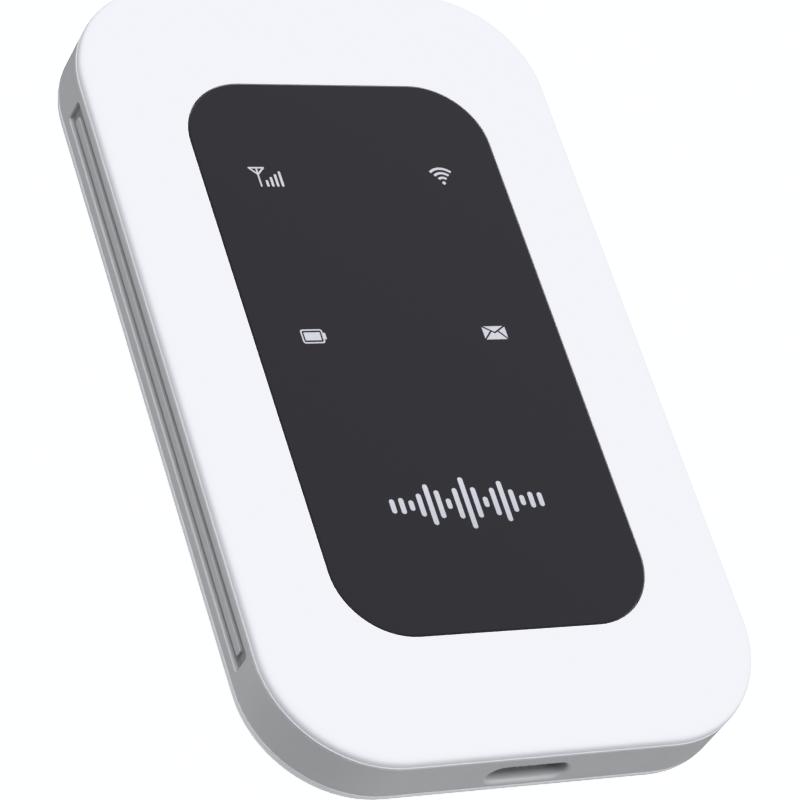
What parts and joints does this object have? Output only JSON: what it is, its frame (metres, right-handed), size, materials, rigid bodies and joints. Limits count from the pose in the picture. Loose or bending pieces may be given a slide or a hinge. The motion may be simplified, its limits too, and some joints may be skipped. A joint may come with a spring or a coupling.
{
  "type": "mobile hotspot",
  "caption": "Palm-sized battery hotspot: white rounded flat case with a grey side band, glossy black icon window, charging port and lift-off back",
  "frame": {"origin": "centre of the flat back face, so the case lies on z = 0", "axes": "+Z out of the front face with the icon window, +Y along the case away from the charging port, +X to the right of the icons"},
  "size_m": [0.06, 0.1014, 0.01],
  "materials": {
    "white_shell": "satin white moulded plastic",
    "grey_housing": "fine-textured mid grey moulded plastic",
    "black_lens": "polished black window",
    "tape": "double-sided tape",
    "icon_print": "printed white",
    "silver_print": "printed silver",
    "grey_key": "satin",
    "switch_plastic": "moulded",
    "switch_metal": "stamped",
    "foam": "soft foam",
    "battery_case": "wrapped pouch",
    "black_plastic": "moulded",
    "gold_contact": "gold plated",
    "paper_label": "blank film label",
    "circuit_board": "solder mask",
    "tinned_steel": "tinned",
    "ceramic_parts": "fired ceramic",
    "light_guide": "translucent",
    "card_plastic": "smooth card",
    "antenna_film": "flexible circuit",
    "screw_steel": "black zinc"
  },
  "bodies": {
    "main_unit": {"antenna_clips": "gold_contact", "baseband_shield": "tinned_steel", "battery_connector": "black_plastic", "battery_icon": "icon_print", "battery_springs": "gold_contact", "board_crystal": "tinned_steel", "board_passives": "ceramic_parts", "case_screws": "screw_steel", "display_lens": "black_lens", "diversity_antenna": "antenna_film", "front_cover": "white_shell", "lens_adhesive": "tape", "light_guides": "light_guide", "light_shield": "black_plastic", "main_antenna": "antenna_film", "main_board": "circuit_board", "memory_chip": "black_plastic", "message_icon": "icon_print", "middle_housing": "grey_housing", "power_chips": "black_plastic", "power_inductor": "black_plastic", "power_switch": "switch_metal", "processor_chip": "black_plastic", "radio_chips": "black_plastic", "radio_shield": "tinned_steel", "rating_label": "paper_label", "reset_switch": "switch_metal", "signal_icon": "icon_print", "sim_base": "black_plastic", "sim_cage": "tinned_steel", "sim_contacts": "gold_contact", "status_leds": "light_guide", "thermal_pad": "foam", "usb_contacts": "gold_contact", "usb_shell": "tinned_steel", "usb_tongue": "black_plastic", "wave_emblem": "silver_print", "wifi_antenna": "antenna_film", "wireless_icon": "icon_print"},
    "rear_cover": {"rear_cover": "white_shell", "battery_foam": "foam"},
    "battery_pack": {"battery_cell": "battery_case", "battery_cap": "black_plastic", "battery_terminals": "gold_contact", "battery_label": "paper_label"},
    "sim_card": {"sim_card": "card_plastic"},
    "power_key": {"power_button": "grey_key", "power_plunger": "switch_plastic"},
    "reset_key": {"reset_plunger": "switch_plastic"}
  },
  "joints": [
    {"name": "rear_cover_lift", "type": "slide", "parent": "main_unit", "child": "rear_cover", "axis": [0, 0, -1], "range_m": [0, 0.04]},
    {"name": "battery_lift", "type": "slide", "parent": "main_unit", "child": "battery_pack", "axis": [0, 0, -1], "range_m": [0, 0.0201]},
    {"name": "sim_slide", "type": "slide", "parent": "main_unit", "child": "sim_card", "axis": [0, 1, 0], "range_m": [0, 0.01505]},
    {"name": "power_key_press", "type": "slide", "parent": "main_unit", "child": "power_key", "axis": [0, -1, 0], "range_m": [0, 0.0003], "stiffness_N_per_m": 2000},
    {"name": "reset_press", "type": "slide", "parent": "main_unit", "child": "reset_key", "axis": [0, 0, 1], "range_m": [0, 0.00025], "stiffness_N_per_m": 2000}
  ],
  "couplings": [
    {"joint": "battery_lift", "follows": "rear_cover_lift", "ratio": 0.5},
    {"joint": "sim_slide", "follows": "rear_cover_lift", "ratio": 0.375}
  ]
}
